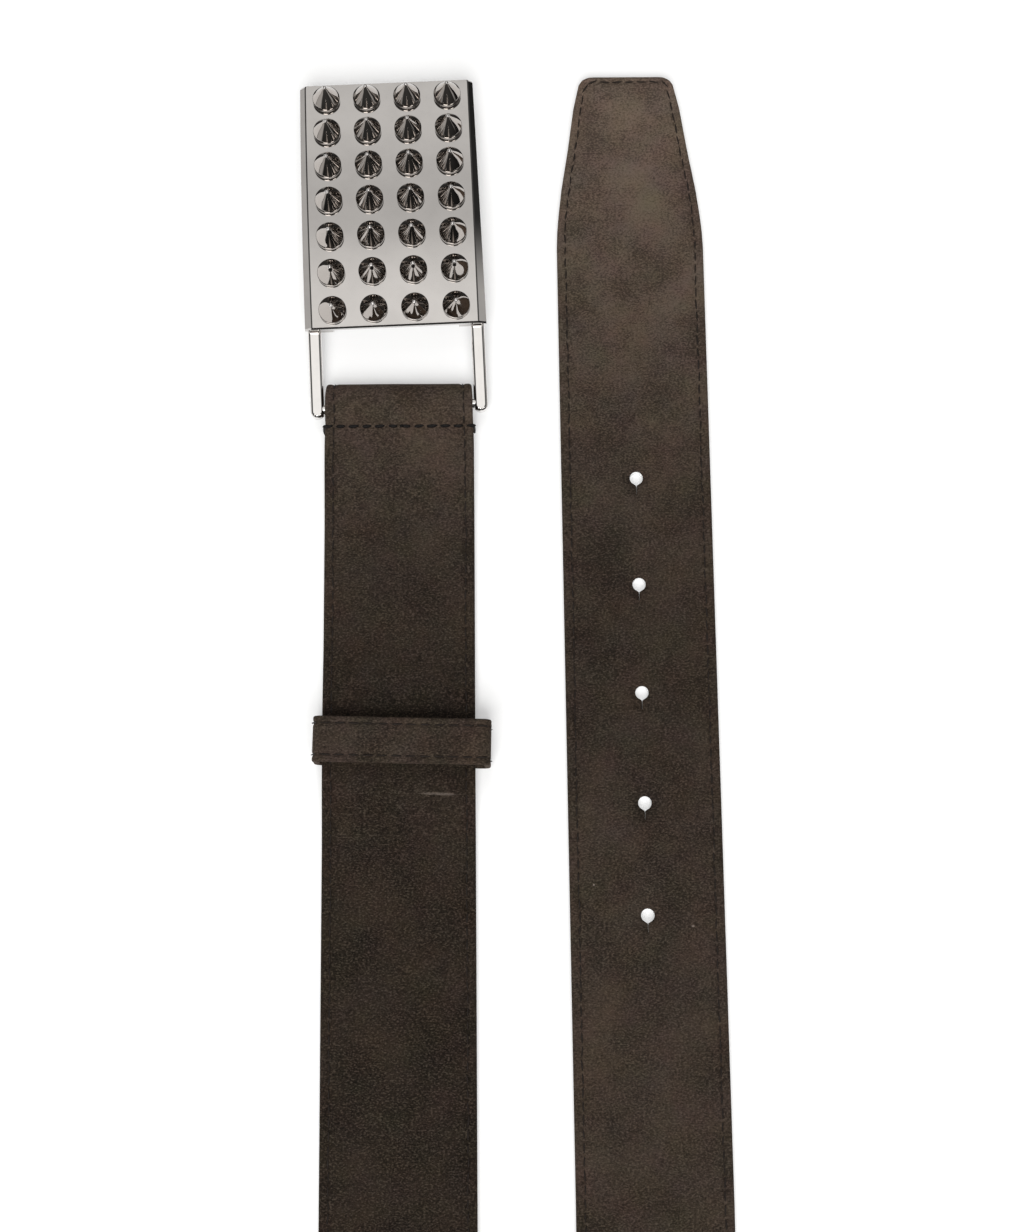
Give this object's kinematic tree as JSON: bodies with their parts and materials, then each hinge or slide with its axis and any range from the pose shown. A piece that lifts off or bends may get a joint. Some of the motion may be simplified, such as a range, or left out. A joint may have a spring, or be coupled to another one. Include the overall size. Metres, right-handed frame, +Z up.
{
  "type": "studded belt",
  "caption": "Dark suede strap belt with punched holes, a sliding keeper loop and a hinged metal plate buckle covered in cone studs.",
  "frame": {"origin": "middle of the belt's box, on the surface it lies on", "axes": "+Z up out of the strap's suede face where it lies flat, +Y along both legs towards the buckle and the tip, +X from the buckle leg to the tip leg"},
  "size_m": [0.114, 0.5072, 0.04],
  "materials": {
    "suede": "dark brown-grey suede with a fine nap",
    "gunmetal": "polished gunmetal plating"
  },
  "bodies": {
    "strap": {"strap": "suede", "keeper": "suede"},
    "bail": {"bail": "gunmetal"},
    "buckle": {"buckle_plate": "gunmetal", "hook": "gunmetal", "stud_r1_c1": "gunmetal", "stud_r1_c2": "gunmetal", "stud_r1_c3": "gunmetal", "stud_r1_c4": "gunmetal", "stud_r2_c1": "gunmetal", "stud_r2_c2": "gunmetal", "stud_r2_c3": "gunmetal", "stud_r2_c4": "gunmetal", "stud_r3_c1": "gunmetal", "stud_r3_c2": "gunmetal", "stud_r3_c3": "gunmetal", "stud_r3_c4": "gunmetal", "stud_r4_c1": "gunmetal", "stud_r4_c2": "gunmetal", "stud_r4_c3": "gunmetal", "stud_r4_c4": "gunmetal", "stud_r5_c1": "gunmetal", "stud_r5_c2": "gunmetal", "stud_r5_c3": "gunmetal", "stud_r5_c4": "gunmetal", "stud_r6_c1": "gunmetal", "stud_r6_c2": "gunmetal", "stud_r6_c3": "gunmetal", "stud_r6_c4": "gunmetal", "stud_r7_c1": "gunmetal", "stud_r7_c2": "gunmetal", "stud_r7_c3": "gunmetal", "stud_r7_c4": "gunmetal"}
  },
  "joints": [
    {"name": "bail_swing", "type": "hinge", "parent": "strap", "child": "bail", "pos_m": [-0.02927, 0.15868, 0.0042], "axis": [0.9992, 0.0394, 0], "range_deg": [-60, 100]},
    {"name": "buckle_hinge", "type": "hinge", "parent": "bail", "child": "buckle", "pos_m": [-0.03016, 0.18116, 0.0059], "axis": [0.9992, 0.0394, 0], "range_deg": [-80, 8]}
  ]
}
